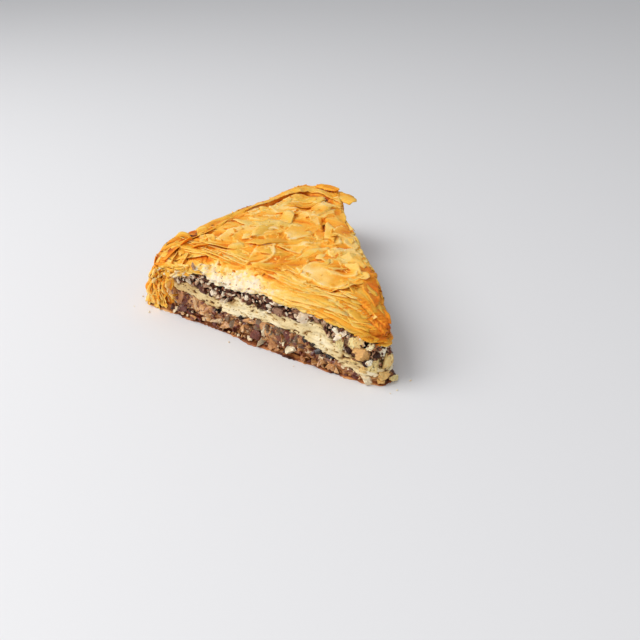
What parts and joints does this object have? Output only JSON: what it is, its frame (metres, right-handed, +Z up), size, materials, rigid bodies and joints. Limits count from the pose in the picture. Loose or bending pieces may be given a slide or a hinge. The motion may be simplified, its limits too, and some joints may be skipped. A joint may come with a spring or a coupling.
{
  "type": "baklava piece",
  "caption": "Triangular cut piece of flaky layered pastry with chopped walnut fillings that show at the cuts, its crust folded down along one side.",
  "frame": {"origin": "on the flat underside, at the middle of the triangle that the front cut, the pan side and the slanting cut make", "axes": "+Z up; +X along the front cut, from the pan corner to the tip; +Y from the front cut to the back"},
  "size_m": [0.1364, 0.122, 0.0317],
  "materials": {
    "soaked_pastry": "pastry sheets soaked in syrup, brown and wet",
    "syrupy_walnut": "chopped walnut glazed with syrup, amber brown",
    "pale_pastry": "soft pale pastry sheets, cream",
    "dark_walnut": "chopped walnut, dark skins and pale broken faces",
    "golden_pastry": "crisp baked pastry flakes, golden with a light sheen of butter"
  },
  "bodies": {
    "root": {"bottom_sheets": "soaked_pastry", "lower_walnuts": "syrupy_walnut", "middle_sheets": "pale_pastry", "upper_walnuts": "dark_walnut", "top_crust": "golden_pastry"}
  },
  "joints": []
}
